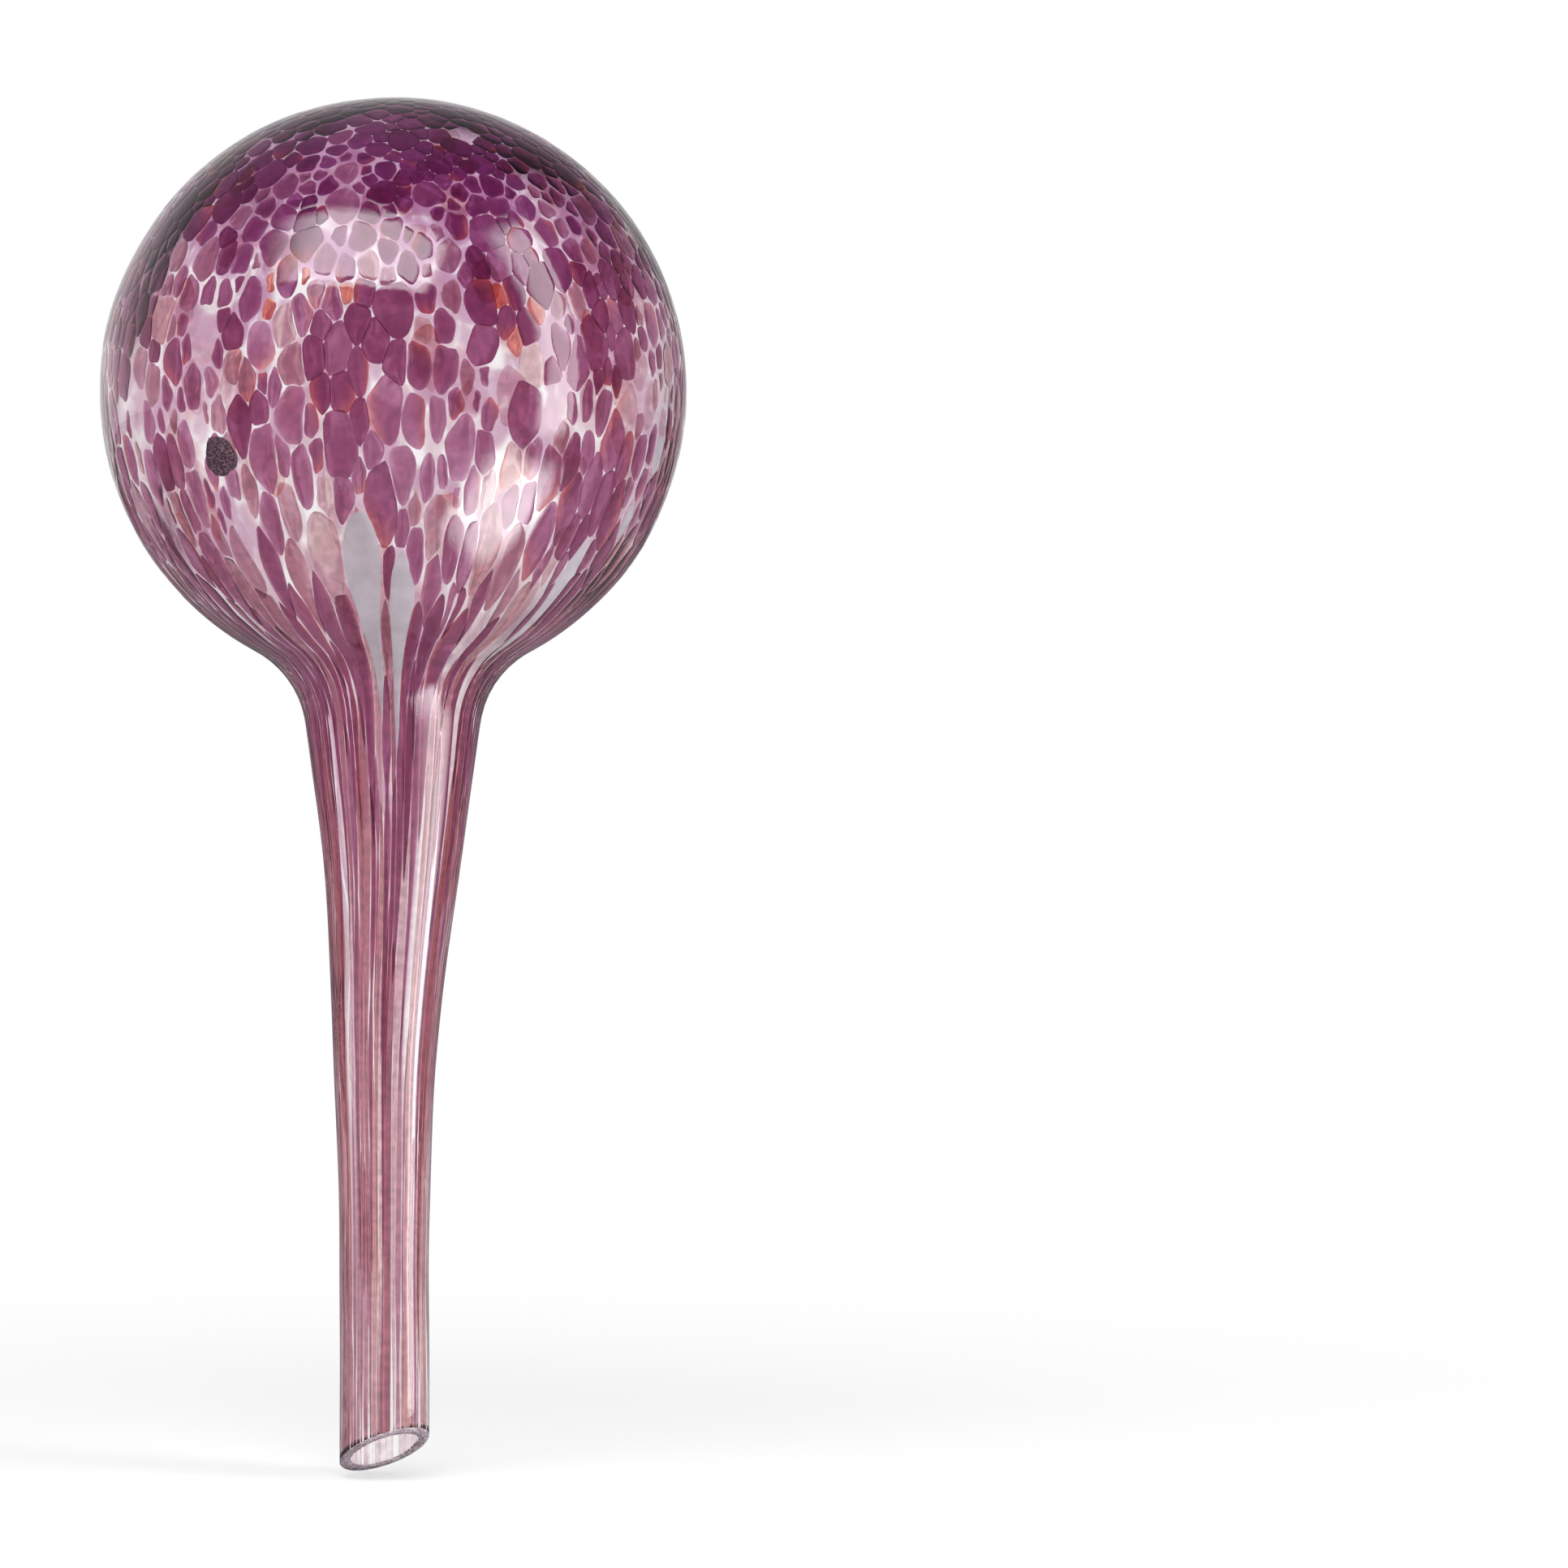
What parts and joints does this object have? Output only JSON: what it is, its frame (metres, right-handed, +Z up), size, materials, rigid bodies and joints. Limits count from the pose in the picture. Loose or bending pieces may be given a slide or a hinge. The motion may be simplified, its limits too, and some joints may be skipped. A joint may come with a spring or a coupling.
{
  "type": "watering globe",
  "caption": "Blown-glass plant watering globe: hollow round bulb drawn into a tapered neck and an open stem cut at a slant, with speckles of coloured glass fused on its skin.",
  "frame": {"origin": "on the stem's axis, at the top of its straight stretch, where the taper of the neck ends", "axes": "+Z up along the stem towards the bulb, as the globe stands in a pot; -Y is the side that the picture shows"},
  "size_m": [0.0602, 0.0602, 0.1411],
  "materials": {
    "clear_glass": "clear blown glass, fire-polished, with a ground rim at the mouth",
    "purple_glass": "transparent purple glass, glossy, slightly raised",
    "dark_glass": "nearly black purple glass, gritty"
  },
  "bodies": {
    "root": {"glass_vessel": "clear_glass", "crown_frit": "purple_glass", "belt_frit": "purple_glass", "shoulder_frit": "purple_glass", "stem_streaks": "purple_glass", "dark_chip": "dark_glass"}
  },
  "joints": []
}
